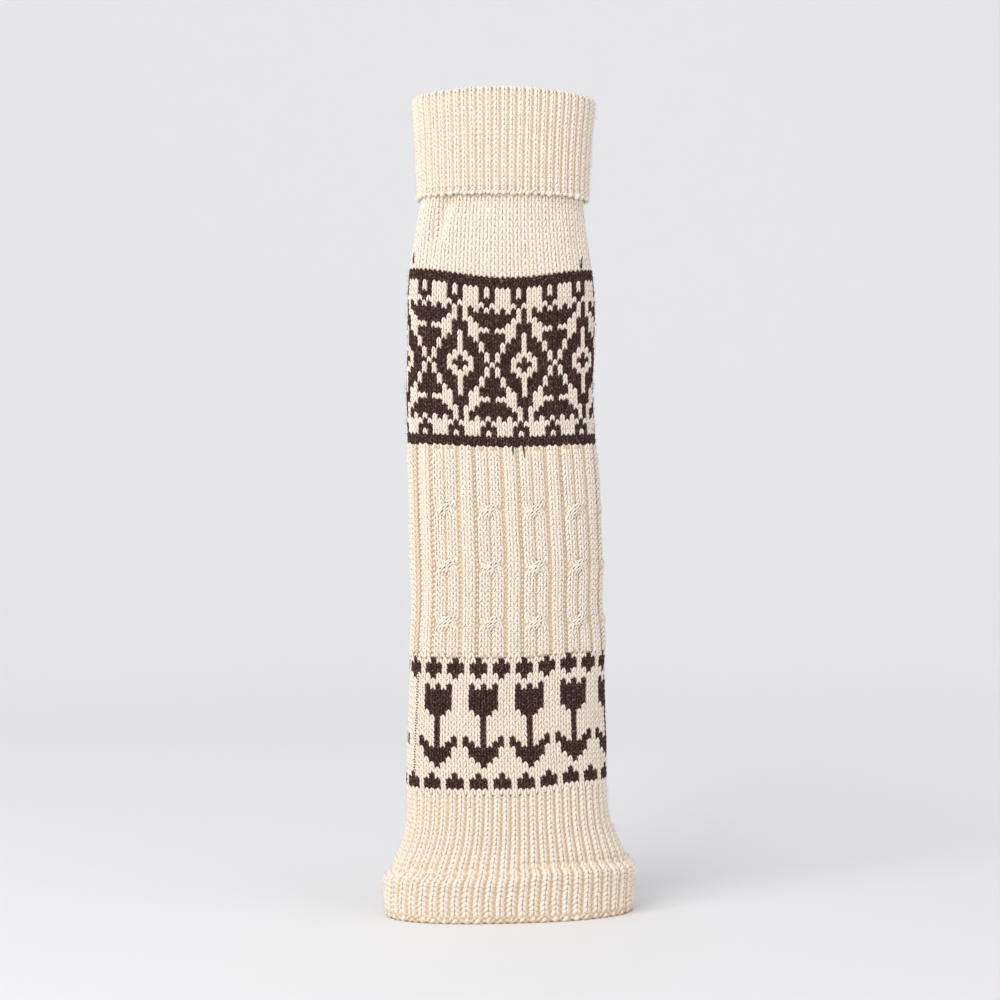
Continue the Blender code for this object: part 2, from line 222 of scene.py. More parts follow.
def makeGrain(name, segments, rings, topTaper, bottomTaper):
    # one grain of yarn: a small sphere, its upper and lower halves tapered
    bpy.ops.object.select_all(action="DESELECT")
    bpy.ops.mesh.primitive_uv_sphere_add(segments=segments, ring_count=rings, radius=1, location=(0, 0, 0))
    grain = bpy.context.object
    grain.name = name
    for low, high, taper in ((.1, .95, topTaper), (-.95, -.1, bottomTaper)):
        bpy.ops.object.mode_set(mode="EDIT")
        bpy.ops.mesh.select_all(action="DESELECT")
        bpy.ops.object.mode_set(mode="OBJECT")
        for vertex in grain.data.vertices:
            vertex.select = low < vertex.co.z < high
        bpy.ops.object.mode_set(mode="EDIT")
        bpy.ops.transform.resize(value=(taper, taper, 1.0), center_override=(0, 0, 0))
        bpy.ops.object.mode_set(mode="OBJECT")
    mesh = grain.data
    points = np.array([vertex.co[:] for vertex in mesh.vertices])
    # the sphere's faces come in another order in each run, so they are sorted
    faces = sorted(mesh.polygons, key=lambda face: tuple(face.vertices))
    order = [k for face in faces for k in face.loop_indices]
    corners = np.array([mesh.loops[k].vertex_index for k in order])
    starts = np.cumsum([0] + [face.loop_total for face in faces[:-1]])
    uv = np.array([mesh.uv_layers[0].data[k].uv[:] for k in order])
    bpy.data.objects.remove(grain)
    return dict(points=points, corners=corners, starts=starts, uv=uv)


def copyGrain(name, grain, points, shade, material):
    # points holds one set of the grain's points for each copy, in millimetres
    count, size = len(points), points.shape[1]
    number = np.arange(count)[:, None]
    mesh = bpy.data.meshes.new(name)
    mesh.vertices.add(count * size)
    mesh.loops.add(count * len(grain["corners"]))
    mesh.polygons.add(count * len(grain["starts"]))
    mesh.vertices.foreach_set("co", (points * mm).astype(np.float32).ravel())
    corners = (grain["corners"][None] + size * number).ravel()
    mesh.loops.foreach_set("vertex_index", corners.astype(np.int32))
    starts = (grain["starts"][None] + len(grain["corners"]) * number).ravel()
    mesh.polygons.foreach_set("loop_start", starts.astype(np.int32))
    mesh.update(calc_edges=True)
    mesh.uv_layers.new(name="yarn").data.foreach_set("uv", np.tile(grain["uv"], (count, 1)).ravel())
    tone = mesh.attributes.new("shade", "FLOAT", "POINT")
    tone.data.foreach_set("value", np.repeat(shade, size).astype(np.float32))
    mesh.shade_smooth()
    mesh.materials.append(material)
    piece = bpy.data.objects.new(name, mesh)
    bpy.context.collection.objects.link(piece)
    return piece


def layGrains(grain, cloth, legs, pitch, path=None):
    # legs: where each grain's middle lies and how it reaches along and across the cloth
    x, y, t = (grain["points"][None, :, k] for k in range(3))
    reach, slant, wide = (legs[k][:, None] for k in ("reach", "slant", "wide"))
    length = np.hypot(reach, slant)
    bow = legs["bow"][:, None] * t**2
    around = legs["around"][:, None] + (slant * t + bow + wide * x * reach / length) / pitch
    along = legs["along"][:, None] + reach * t - wide * x * slant / length
    out = legs["out"][:, None] + legs["lean"][:, None] * t - legs["thick"][:, None] * y
    if path:
        around, along, out = path(legs, around, along, out)
    return onCloth(cloth, around, along, out)


def knit(name, grain, cloth, legs, pitch, finish, path=None):
    points = layGrains(grain, cloth, legs, pitch, path)
    pieces[name] = copyGrain(name, grain, points, legs["shade"], finish)


# one leg of a stitch, in shares of the stitch's width or height, with its thickness and lean in mm
leg = dict(apart=.25, lift=.06, reach=.75, slant=.172, bow=.04, wide=.25, thick=.52, lean=.38)


def knitLegs(columns, width, rows, height, pitch, wide=leg["wide"], thick=leg["thick"]):
    # two legs to a stitch, leaning together at the top; width is in stitches, height in mm
    column, row, side = (k.ravel() for k in np.meshgrid(
        np.arange(len(columns)), np.arange(len(rows)), (-1, 1), indexing="ij"))
    wobble = rng.normal(0, 1, (6, len(column)))
    ones = np.ones(len(column))
    return dict(
        column=column, row=row,
        around=columns[column] + side * width * leg["apart"] + .02 * wobble[0],
        along=rows[row] + leg["lift"] * height + .05 * wobble[1],
        out=-thick + .045 * wobble[2],
        reach=height * (leg["reach"] + .03 * wobble[3]),
        slant=-side * width * pitch * (leg["slant"] + .02 * wobble[4]),
        bow=-side * width * pitch * leg["bow"],
        wide=width * pitch * wide * (1 + .05 * wobble[5]),
        thick=thick * ones, lean=leg["lean"] * ones,
        shade=rng.random(len(column)))


def pick(legs, keep):
    return {k: v[keep] for k, v in legs.items()}


def straightGrains(around, along, out, reach, slant, wide, thick):
    # grains that neither bow nor lean; a plain number holds for all of them
    ones = np.ones(len(around))
    return dict(around=around, along=along, out=out * ones, reach=reach * ones, slant=slant * ones,
                bow=0 * ones, wide=wide * ones, thick=thick * ones, lean=0 * ones,
                shade=rng.random(len(around)))


def purlBumps(columns, width, rows, height, pitch, out, thick):
    # the back of a stitch shows as a short bar lying across the groove
    column, row = (k.ravel() for k in np.meshgrid(
        np.arange(len(columns)), np.arange(len(rows)), indexing="ij"))
    wobble = rng.normal(0, 1, (2, len(column)))
    return straightGrains(columns[column] + .01 * wobble[0], rows[row] + .04 * wobble[1], out,
                          .12 * height, .5 * width * pitch, .48 * height, thick)


def roundRibs(facts, foldAlong=None):
    # the two legs of a rib stitch turn down into the grooves on either side, less so over a fold
    def path(legs, around, along, out):
        share = ((around - facts["firstGroove"]) / ribWidth) % 1
        depth = facts["grooveDepth"]
        if foldAlong is not None:
            depth = depth * (1 - .5 * np.exp(-((along - foldAlong) / 4.5) ** 2))
        return around, along, out - depth * (2 * np.abs(share - .5)) ** 2.6
    return path


def knitRibs(name, cloth, facts, rows, foldAlong=None):
    middles = (np.arange(facts["ribs"]) + .5) * ribWidth + facts["firstGroove"]
    legs = knitLegs(middles, facts["stitch"], rows, facts["rowHeight"], facts["pitch"],
                    facts["yarnWide"], facts["yarnThick"])
    knit(name, grainFine, cloth, legs, facts["pitch"], creamYarn, roundRibs(facts, foldAlong))


# yarn and cloth finishes
def newLook(name, colours, numbers):
    look = bpy.data.node_groups.new(name, "ShaderNodeTree")
    for label in colours:
        look.interface.new_socket(name=label, in_out="INPUT", socket_type="NodeSocketColor")
    for label in numbers:
        look.interface.new_socket(name=label, in_out="INPUT", socket_type="NodeSocketFloat")
    for label, kind in (("Color", "NodeSocketColor"), ("Roughness", "NodeSocketFloat"),
                        ("Normal", "NodeSocketVector")):
        look.interface.new_socket(name=label, in_out="OUTPUT", socket_type=kind)
    return look


def reckon(look, kind, *values):
    node = look.nodes.new("ShaderNodeMath")
    node.operation = kind
    for socket, value in zip(node.inputs, values):
        if isinstance(value, (int, float)):
            socket.default_value = value
        else:
            look.links.new(value, socket)
    return node.outputs[0]


def blendTones(look, factor, first, second, kind="MIX"):
    node = look.nodes.new("ShaderNodeMix")
    node.data_type, node.blend_type = "RGBA", kind
    look.links.new(factor, node.inputs["Factor"])
    look.links.new(first, node.inputs[6])
    if isinstance(second, tuple):
        node.inputs[7].default_value = second
    else:
        look.links.new(second, node.inputs[7])
    return node.outputs[2]


def cloudOf(look, scale, detail):
    place, noise = look.nodes.new("ShaderNodeTexCoord"), look.nodes.new("ShaderNodeTexNoise")
    noise.inputs["Scale"].default_value, noise.inputs["Detail"].default_value = scale, detail
    look.links.new(place.outputs["Object"], noise.inputs["Vector"])
    return noise.outputs["Fac"]


def mapOf(look, name):
    uv, split = look.nodes.new("ShaderNodeUVMap"), look.nodes.new("ShaderNodeSeparateXYZ")
    uv.uv_map = name
    look.links.new(uv.outputs[0], split.inputs[0])
    return split.outputs[0], split.outputs[1]


def endLook(look, colour, roughness, height, strength, distance):
    outputs, bump = look.nodes.new("NodeGroupOutput"), look.nodes.new("ShaderNodeBump")
    bump.inputs["Strength"].default_value, bump.inputs["Distance"].default_value = strength, distance
    look.links.new(height, bump.inputs["Height"])
    look.links.new(colour, outputs.inputs["Color"])
    look.links.new(roughness, outputs.inputs["Roughness"])
    look.links.new(bump.outputs[0], outputs.inputs["Normal"])


def attributeOf(look, name):
    node = look.nodes.new("ShaderNodeAttribute")
    node.attribute_name = name
    return node.outputs["Fac"]


def makeYarnLook():
    look = newLook("yarnLook", ("Yarn", "Deep", "Fleck"), ("Flecks", "DiveShade", "Twist", "Fibre"))
    given = look.nodes.new("NodeGroupInput").outputs
    across, length = mapOf(look, "yarn")
    # plies wind round the yarn
    wound = reckon(look, "MULTIPLY_ADD", length, 2.5, across)
    plies = reckon(look, "SINE", reckon(look, "MULTIPLY", wound, 4 * math.pi))
    fibre, patches, heather = cloudOf(look, 1400, 3), cloudOf(look, 70, 2), cloudOf(look, 1050, 2)
    # painted shade where the leg dives under its neighbour, and a little darker at random from stitch to
    # stitch
    end = reckon(look, "MULTIPLY", reckon(look, "ABSOLUTE", reckon(look, "SUBTRACT", length, .5)), 2)
    diveShade = reckon(look, "MULTIPLY", reckon(look, "POWER", end, 3), given["DiveShade"])
    uneven = reckon(look, "MULTIPLY_ADD", attributeOf(look, "shade"), .16, diveShade)
    patch = reckon(look, "MULTIPLY_ADD", patches, .35, uneven)
    dark = reckon(look, "MULTIPLY_ADD", fibre, .2, reckon(look, "SUBTRACT", patch, .3))
    dark = reckon(look, "MINIMUM", reckon(look, "MAXIMUM", dark, 0), 1)
    tone = blendTones(look, dark, given["Yarn"], given["Deep"])
    # lighter flecks of wool
    speck = reckon(look, "MULTIPLY", reckon(look, "SUBTRACT", heather, .5), 7)
    speck = reckon(look, "MINIMUM", reckon(look, "MAXIMUM", speck, 0), 1)
    tone = blendTones(look, reckon(look, "MULTIPLY", speck, given["Flecks"]), tone, given["Fleck"])
    rough = reckon(look, "MULTIPLY", fibre, given["Fibre"])
    relief = reckon(look, "MULTIPLY_ADD", plies, given["Twist"], rough)
    endLook(look, tone, reckon(look, "MULTIPLY_ADD", fibre, .15, .82), relief, .6, .00012)
    return look


def makeClothLook():
    # the back of the knitting: rows of small loops, and floats of the other colour
    look = newLook("clothLook", ("Cloth", "Other"), ())
    given = look.nodes.new("NodeGroupInput").outputs
    across, up = mapOf(look, "stitches")
    bend = reckon(look, "COSINE", reckon(look, "MULTIPLY", across, 2 * math.pi))
    bent = reckon(look, "ADD", up, reckon(look, "MULTIPLY", bend, .22))
    loops = reckon(look, "SINE", reckon(look, "MULTIPLY", bent, 2 * math.pi))
    fibre = cloudOf(look, 1200, 3)
    tone = blendTones(look, attributeOf(look, "brown"), given["Cloth"], given["Other"])
    shadow = reckon(look, "MULTIPLY_ADD", loops, -.3, .45)
    tone = blendTones(look, shadow, tone, (.74, .62, .5, 1), "MULTIPLY")
    relief = reckon(look, "MULTIPLY_ADD", fibre, .35, loops)
    endLook(look, tone, reckon(look, "MULTIPLY_ADD", fibre, .12, .85), relief, .8, .0004)
    return look


yarnLook, clothLook = makeYarnLook(), makeClothLook()


def makeFinish(name, look, values, sheen, sheenTint):
    finish = bpy.data.materials.new(name)
    finish.use_nodes = True
    nodes, links = finish.node_tree.nodes, finish.node_tree.links
    shader = nodes["Principled BSDF"]
    shader.inputs["Sheen Weight"].default_value = sheen
    shader.inputs["Sheen Roughness"].default_value = .45
    shader.inputs["Sheen Tint"].default_value = sheenTint
    shader.inputs["Specular IOR Level"].default_value = .25
    group = nodes.new("ShaderNodeGroup")
    group.node_tree = look
    for key, value in values.items():
        group.inputs[key].default_value = value
    links.new(group.outputs["Color"], shader.inputs["Base Color"])
    links.new(group.outputs["Roughness"], shader.inputs["Roughness"])
    links.new(group.outputs["Normal"], shader.inputs["Normal"])
    return finish


creamYarn = makeFinish("creamYarn", yarnLook, dict(
    Yarn=(.87, .775, .665, 1), Deep=(.80, .66, .49, 1), Fleck=(.93, .87, .79, 1), Flecks=.4, DiveShade=.3,
    Twist=.5, Fibre=.8), .15, (1, .95, .9, 1))
brownYarn = makeFinish("brownYarn", yarnLook, dict(
    Yarn=(.044, .0175, .0135, 1), Deep=(.010, .004, .003, 1), Fleck=(.24, .13, .105, 1), Flecks=.6, DiveShade=.7,
    Twist=.7, Fibre=1.0), .04, (.6, .45, .42, 1))
# the cloth's tan, warmer and darker than the yarn, is painted shade for the gaps between the stitches
creamClothShade = makeFinish("creamClothShade", clothLook, dict(
    Cloth=(.88, .72, .53, 1), Other=(.03, .014, .012, 1)), .1, (1, .93, .82, 1))
creamHair = makeFinish("creamHair", yarnLook, dict(
    Yarn=(.92, .85, .76, 1), Deep=(.88, .77, .64, 1), Fleck=(.97, .9, .82, 1), Flecks=0, DiveShade=0,
    Twist=.2, Fibre=.3), .3, (1, .97, .92, 1))
brownHair = makeFinish("brownHair", yarnLook, dict(
    Yarn=(.07, .035, .028, 1), Deep=(.03, .014, .011, 1), Fleck=(.17, .095, .078, 1), Flecks=.4, DiveShade=0,
    Twist=.2, Fibre=.3), .2, (.8, .62, .55, 1))
print("finishes made")


loopHeight = 2.5  # of the loops drawn on the back of the knitting
# how far the ground lies behind the stitches, and its thickness
bodyWall, cuffWall, hemWall = (-.68, 1.1), (-.72, 1.0), (-.85, 1.2)


def makeCloth(name, node, cloth, low, high, columns, rows, wall, relief=None, brown=None):
    # a flat panel of columns and rows, wrapped round the leg, closed at the side seam and given its wall
    out, thickness = wall
    bpy.ops.object.select_all(action="DESELECT")
    bpy.ops.mesh.primitive_grid_add(x_subdivisions=columns, y_subdivisions=rows, size=1)
    piece = bpy.context.object
    piece.name = name
    mesh = piece.data
    flat = np.array([vertex.co[:] for vertex in mesh.vertices])
    around, along = (flat[:, 0] + .5) * stitchesRound, low + (flat[:, 1] + .5) * (high - low)
    rise = relief(around, along) if relief else 0.0
    mesh.vertices.foreach_set("co", (onCloth(cloth, around, along, out + rise) * mm).ravel())
    own = np.array([corner.uv[:] for corner in mesh.uv_layers[0].data])
    stitchMap = mesh.uv_layers.new(name="stitches")
    stitchMap.data.foreach_set("uv", (own * (stitchesRound, (high - low) / loopHeight)).ravel())
    if brown is not None:
        middles = np.array([face.center[:] for face in mesh.polygons])
        tone = mesh.attributes.new("brown", "FLOAT", "FACE")
        order = np.arange(len(middles))
        tone.data.foreach_set("value", brown(order % columns, order // columns).astype(np.float32))
    bpy.ops.object.mode_set(mode="EDIT")
    bpy.ops.mesh.select_all(action="SELECT")
    bpy.ops.mesh.remove_doubles(threshold=.00005)
    bpy.ops.mesh.normals_make_consistent(inside=False)
    bpy.ops.object.mode_set(mode="OBJECT")
    thicken = piece.modifiers.new("wall", "SOLIDIFY")
    thicken.thickness = thickness * mm
    thicken.offset = -1
    bpy.ops.object.modifier_apply(modifier=thicken.name)
    bpy.ops.object.shade_smooth()
    # the tan cloth finish paints shade into the gaps between the stitches
    mesh.materials.append(creamClothShade)
    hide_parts(node)
    return piece


grainFine = makeGrain("yarnLeg", 5, 4, .72, .95)
grainRound = makeGrain("yarnLoop", 6, 4, 1.0, 1.0)
grainBar = makeGrain("yarnBar", 4, 4, 1.0, 1.0)


def grooved(facts):
    # the ground goes down into the grooves between the ribs
    def relief(around, along):
        share = ((around - facts["firstGroove"]) / ribWidth) % 1
        return -facts["groundGroove"] * np.clip(1 - np.minimum(share, 1 - share) / .26, 0, 1)
    return relief


# turned cuff
cuff = dict(edge=3.6, ribs=56, firstGroove=.2, rowHeight=2.27, stitch=1.3, pitch=2.6, yarnWide=.262,
            yarnThick=.64, grooveDepth=1.1, groundGroove=.7, firstRow=1.2, overFold=5.5, liningDepth=30,
            groundRows=24, bead=1.65, edgeAt=3.5, edgeOut=-.6, edgePitch=2.6)
foldAt = cuffCloth["along"][len(outerLevels)]
outerRows = np.arange(cuff["edge"] + cuff["firstRow"], foldAt + cuff["overFold"], cuff["rowHeight"])
innerRows = np.arange(outerRows[-1] + cuff["rowHeight"], foldAt + cuff["liningDepth"], cuff["rowHeight"])
foldTop = foldAt + fold["radius"] * math.pi / 2
knitRibs("cuff_rib", cuffCloth, cuff, outerRows, foldTop)
knitRibs("cuff_lining_rib", cuffCloth, cuff, innerRows, foldTop)
cuffEnd = cuffCloth["along"][-1] - .4
cuffGround = makeCloth("cuff_cloth", "turned_cuff", cuffCloth, cuff["edge"] + .6, cuffEnd,
                       4 * cuff["ribs"], cuff["groundRows"], cuffWall, grooved(cuff))
print("cuff knitted")

# plain neck
neck = dict(wales=56, rows=16, bottom=320.5, top=362.0, firstWale=.2, pitch=2.55,
            yarnWide=.24, yarnThick=.55)
neckHeight = (neck["top"] - neck["bottom"]) / neck["rows"]
neckColumns = (np.arange(neck["wales"]) + .5) * ribWidth + neck["firstWale"]
neckRows = neck["bottom"] + (np.arange(neck["rows"]) + .5) * neckHeight
legs = knitLegs(neckColumns, ribWidth, neckRows, neckHeight, neck["pitch"],
                neck["yarnWide"], neck["yarnThick"])
knit("neck_knit", grainFine, bodyCloth, legs, neck["pitch"], creamYarn)
neckGround = makeCloth("neck_cloth", "plain_neck", bodyCloth, neck["bottom"], neck["top"] - .6,
                       stitchesRound, 14, bodyWall)
print("neck knitted")

# the two-colour bands, charted from the top course down
bandChart = [
    "XXXXXXXXXXXX", "XXXXXXXXXXXX", "X...X.X...X.", "X...X.X...X.", "X...XXX...XX", ".....X.....X",
    "X.X.X.X.X.X.", "X.XXXXXXXXX.", "X..XXXXXXX..", "XX..XXXXX..X", "XX....X....X", ".X..XXXXX..X",
    ".XX.XXXXX.XX", ".XXX.XXX.XXX", ".XXX.XXX.XXX", "..XXX.X.XXX.", "X..XX.X.XX..", "XX.XXX.XXX.X",
    "X..XX.X.XX..", "..XXX.X.XXX.", ".XXX.XXX.XXX", ".XXX.XXX.XXX", ".XX.XXXXX.XX", ".X..XXXXX..X",
    "XX....X....X", "XX..XXXXX..X", "X..XXXXXXX..", "X.XXXXXXXXX.", "X.X.X.X.X.X.", ".....X.....X",
    "X...XXX...XX", "X...X.X...X.", "XXXXXXXXXXXX", "XXXXXXXXXXXX"]
tulipChart = [
    "...X...X", "X.XXX.XX", "X.XXX.XX", "...X...X", "........", "..X.X.X.", "..XXXXX.", "..XXXXX.",
    "..XXXXX.", "..XXXXX.", "...XXX..", "....X...", "....X...", "....X...", "....X...", ".X..X..X",
    ".XX.X.XX", "..XXXXX.", "..XXXXX.", "...XXX..", "....X...", "........", "...X...X", "X.XXX.XX",
    "X.XXX.XX", "........"]
# each chart starts at this column of its own beside the seam
band = dict(chart=bandChart, chartStart=-9, rows=34, bottom=233.0, top=320.5, shift=-.1, pitch=2.65)
# the half flower left over beside the seam is knitted plain: its first column, lowest and highest row
tulips = dict(chart=tulipChart, chartStart=0, rows=26, bottom=61.5, top=127.5, shift=.4, pitch=2.8,
              halfFlower=(82, 5, 20))


def readChart(facts):
    # which stitches are brown: column counted from the seam, row from the bottom
    marks = np.array([[mark == "X" for mark in line] for line in facts["chart"]])[::-1]

    def brown(column, row):
        dark = marks[row, (column + facts["chartStart"]) % marks.shape[1]]
        if "halfFlower" in facts:
            first, low, high = facts["halfFlower"]
            dark = dark & ~((column >= first) & (row >= low) & (row <= high))
        return dark
    return brown


def knitBand(name, node, facts):
    height = (facts["top"] - facts["bottom"]) / facts["rows"]
    rows = facts["bottom"] + (np.arange(facts["rows"]) + .5) * height
    columns = np.arange(stitchesRound) + .5 + facts["shift"]
    legs = knitLegs(columns, 1.0, rows, height, facts["pitch"])
    brown = readChart(facts)
    dark = brown(legs["column"], legs["row"])
    for tone, keep, finish in (("cream", ~dark, creamYarn), ("brown", dark, brownYarn)):
        knit(name + "_" + tone, grainFine, bodyCloth, pick(legs, keep), facts["pitch"], finish)
    return makeCloth(name + "_cloth", node, bodyCloth, facts["bottom"], facts["top"], 2 * stitchesRound,
                     facts["rows"], bodyWall, brown=lambda column, row: brown(column // 2, row))


bandGround = knitBand("band", "pattern_band", band)
tulipGround = knitBand("tulip", "tulip_band", tulips)
print("two-colour bands knitted")

# cables: places round are in stitches from the start of each repeat; the seam has a rib of its own
cable = dict(rows=42, bottom=127.5, top=233.0, first=4, repeat=8, pitch=2.75, cord=.95, cordHalf=1.12,
             endFade=5, slots=(.27, 1.36, 2.64, 3.73), rib=6.0, ribHalf=1.15, ribShare=.8,
             ribPair=(-.58, .58), purls=(4.52, 7.48), seamRib=2.0, seamPurls=(.5, 3.5),
             strandStitch=1.12, ribStitch=1.2, purlStitch=.4, purlOut=-1.1, purlThick=.42,
             groundCords=((.82, .95), (3.18, .95)))
# each crossing: its reach up and down, the front pair's step over and the back pair's share of it, how
# far the pairs stand out and in, how much narrower the front pair gets and over what share of the reach
cross = dict(levels=(145.0, 173.0, 201.0), reach=4.0, step=2.37, backShare=.4, rise=.7, sink=.12,
             narrow=.24, tall=.62)
cableHeight = (cable["top"] - cable["bottom"]) / cable["rows"]
cableRows = cable["bottom"] + (np.arange(cable["rows"]) + .5) * cableHeight
starts = np.arange(cable["first"], stitchesRound, cable["repeat"])
strandColumns = (starts[:, None] + cable["slots"]).ravel()
ribCentres = np.concatenate([[cable["seamRib"]], starts + cable["rib"]])
purlColumns = np.concatenate([cable["seamPurls"], (starts[:, None] + cable["purls"]).ravel()])


def crossStrands(legs, around, along, out):
    # at each crossing the left pair of stitches passes over the right pair, going up
    left = (legs["column"] % 4 < 2)[:, None]
    middle = legs["along"][:, None]
    pairMiddle = strandColumns.reshape(-1, 2).mean(axis=1)[legs["column"] // 2][:, None]
    across = around - pairMiddle
    # each pair is rounded like a cord, with a groove on either side
    edge = np.clip(np.minimum(along - cable["bottom"], cable["top"] - along) / cable["endFade"], 0, 1)
    out = out + cable["cord"] * edge * (1 - (across / cable["cordHalf"]) ** 2)
    travel, tilt, narrow = 0 * across, 0 * across, 0 * across
    for level in cross["levels"]:
        below = middle < level
        overs = np.where(below, left, ~left)
        near = np.abs(middle - level) < cross["reach"] + 3
        t = np.clip((along - level + cross["reach"]) / (2 * cross["reach"]), 0, 1)
        way = np.where(overs, cross["step"], -cross["backShare"] * cross["step"])
        travel = travel + near * way * (t * t * (3 - 2 * t) - np.where(below, 0, 1))
        tilt = tilt + near * np.arctan(way * cable["pitch"] * 6 * t * (1 - t) / (2 * cross["reach"]))
        bulge = np.exp(-((along - level) / (cross["tall"] * cross["reach"])) ** 2)
        narrow = narrow + near * overs * bulge * cross["narrow"]
        out = out + near * np.where(overs, cross["rise"], -cross["sink"]) * bulge
    # the stitches turn with their strand
    across = across * (1 - narrow)
    along = along - across * cable["pitch"] * np.sin(tilt)
    return pairMiddle + travel + across * np.cos(tilt), along, out


def cordRise(gap, size):
    # how far a rib or cord stands out, at this distance from its middle
    return cable["cord"] * size * (1 - (gap / cable["ribHalf"]) ** 2)


def roundPair(legs, around, along, out):
    gap = around - ribCentres[legs["column"] // 2][:, None]
    return around, along, out + cordRise(gap, cable["ribShare"])


strands = knitLegs(strandColumns, cable["strandStitch"], cableRows, cableHeight, cable["pitch"])
knit("cable_strands", grainFine, bodyCloth, strands, cable["pitch"], creamYarn, crossStrands)
ribColumns = (ribCentres[:, None] + cable["ribPair"]).ravel()
ribs = knitLegs(ribColumns, cable["ribStitch"], cableRows, cableHeight, cable["pitch"])
knit("cable_ribs", grainFine, bodyCloth, ribs, cable["pitch"], creamYarn, roundPair)
purls = purlBumps(purlColumns, cable["purlStitch"], cableRows, cableHeight, cable["pitch"],
                  cable["purlOut"], cable["purlThick"])
knit("cable_purls", grainBar, bodyCloth, purls, cable["pitch"], creamYarn)


def cableRelief(around, along):
    # the ground rises under each cord and each rib
    place = (around - cable["first"]) % cable["repeat"]
    cords = (*cable["groundCords"], (cable["rib"], cable["ribShare"]))
    rise = np.max([cordRise(place - middle, size) for middle, size in cords], axis=0)
    rise = np.where(around < cable["first"], cordRise(around - cable["seamRib"], 1), rise)
    return np.clip(rise, -.5, 1)


cableGround = makeCloth("cable_cloth", "cable_band", bodyCloth, cable["bottom"], cable["top"],
                        3 * stitchesRound, cable["rows"] // 2, bodyWall, cableRelief)
print("cables knitted")

# ribbed hem with its cast-on edge
hem = dict(edge=3.2, ribs=56, firstGroove=.7, rowHeight=2.36, stitch=1.3, pitch=2.9, yarnWide=.262,
           yarnThick=.7, grooveDepth=1.25, groundGroove=.75, firstRow=1.2,
           groundRows=24, bead=1.6, edgeAt=1.75, edgeOut=-1.5, edgePitch=3.2)
hemTop = float(np.interp(tulips["bottom"], hemLevels, hemCloth["along"]))
hemRows = np.arange(hem["edge"] + hem["firstRow"], hemTop + .5, hem["rowHeight"])
knitRibs("hem_rib", hemCloth, hem, hemRows)
hemGround = makeCloth("hem_cloth", "ribbed_hem", hemCloth, 0, hemTop,
                      4 * hem["ribs"], hem["groundRows"], hemWall, grooved(hem))
print("hem knitted")


def edgeLoops(name, cloth, facts):
    # the bound edge: a round bead under each rib and a smaller, deeper one in each groove
    number = np.arange(2 * facts["ribs"])
    small = number % 2 == 0
    wobble = rng.normal(0, 1, (5, len(number)))
    size = facts["bead"] * np.where(small, .78, 1) * (1 + .09 * wobble[2])
    around = facts["firstGroove"] + number * ribWidth / 2 + .05 * wobble[0]
    along = facts["edgeAt"] + .18 * wobble[1] + np.where(small, .15, -.1)
    out = facts["edgeOut"] - np.where(small, .5, 0) + .1 * wobble[3]
    beads = straightGrains(around, along, out, reach=size * (.7 + .08 * wobble[4]), slant=size * .6,
                           wide=size * .66, thick=size * .8)
    knit(name, grainRound, cloth, beads, facts["edgePitch"], creamYarn)


edgeLoops("cuff_edge", cuffCloth, cuff)
edgeLoops("hem_edge", hemCloth, hem)

# side seam: small bars up the cables, and brown dots beside the tulips, on a line that leans a little
seam = dict(pitch=2.65, wobble=.05, bars=(129.0, 231.5), barStep=2.55, barsAt=0.0,
            dots=(65.0, 126.0), dotStep=1.27, dotsAt=(.45, .95))
barRows = np.arange(*seam["bars"], seam["barStep"])
barLine = seam["barsAt"] + seam["wobble"] * rng.normal(0, 1, len(barRows))
seamBars = straightGrains(barLine, barRows, out=-.3, reach=.25, slant=.85, wide=.55, thick=.4)
knit("side_seam", grainRound, bodyCloth, seamBars, seam["pitch"], creamYarn)
dotRows = np.arange(*seam["dots"], seam["dotStep"])
dotLine = np.interp(dotRows, seam["dots"], seam["dotsAt"]) + seam["wobble"] * rng.normal(0, 1, len(dotRows))
dotReach = .22 + .1 * rng.random(len(dotRows))
seamDots = straightGrains(dotLine, dotRows, out=.3, reach=dotReach, slant=.1, wide=.4, thick=.4)
knit("seam_dots", grainRound, bodyCloth, seamDots, seam["pitch"], brownYarn)

# short brown ends left standing out of the wide band: round, height and out, from root to tip
looseEnds = dict(thickness=.42, taper=(1, 1, .9, .7, .35), paths=[
    [(18.7, 235.6, -.4), (18.9, 232.8, .5), (18.3, 230.9, .9), (18.8, 229.2, .6)],
    [(20.5, 235.0, -.4), (20.7, 232.0, .5), (20.5, 229.6, .7), (20.8, 227.6, .4)],
    [(83.2, 322.6, -.5), (83.1, 325.4, .4), (83.6, 328.6, .8)],
    [(33.4, 321.8, -.5), (33.2, 324.6, .4), (33.7, 327.6, .8)]])


def makeLooseEnds(name, facts, finish):
    curves = []
    for end in facts["paths"]:
        bpy.ops.object.select_all(action="DESELECT")
        bpy.ops.curve.primitive_nurbs_path_add(location=(0, 0, 0))
        curve = bpy.context.object
        spline = curve.data.splines[0]
        knots = np.array(end)
        steps = np.linspace(0, len(knots) - 1, len(spline.points))
        path = [np.interp(steps, np.arange(len(knots)), knots[:, k]) for k in range(3)]
        for point, place in zip(spline.points, onCloth(bodyCloth, *path) * mm):
            point.co = (*place, 1)
        spline.use_endpoint_u = True
        for point, size in zip(spline.points, facts["taper"]):
            point.radius = size
        curve.data.bevel_depth = facts["thickness"] * mm
        curve.data.bevel_resolution = 1
        curve.data.resolution_u = 4
        curve.data.use_fill_caps = True
        bpy.ops.object.convert(target="MESH")
        curves.append(bpy.context.object)
    bpy.ops.object.select_all(action="DESELECT")
    for curve in curves:
        curve.select_set(True)
    bpy.context.view_layer.objects.active = curves[0]
    bpy.ops.object.join()
    piece = bpy.context.object
    piece.name = name
    bpy.ops.object.shade_smooth()
    piece.data.materials.clear()
    piece.data.materials.append(finish)
    pieces[name] = piece


makeLooseEnds("loose_ends", looseEnds, brownYarn)

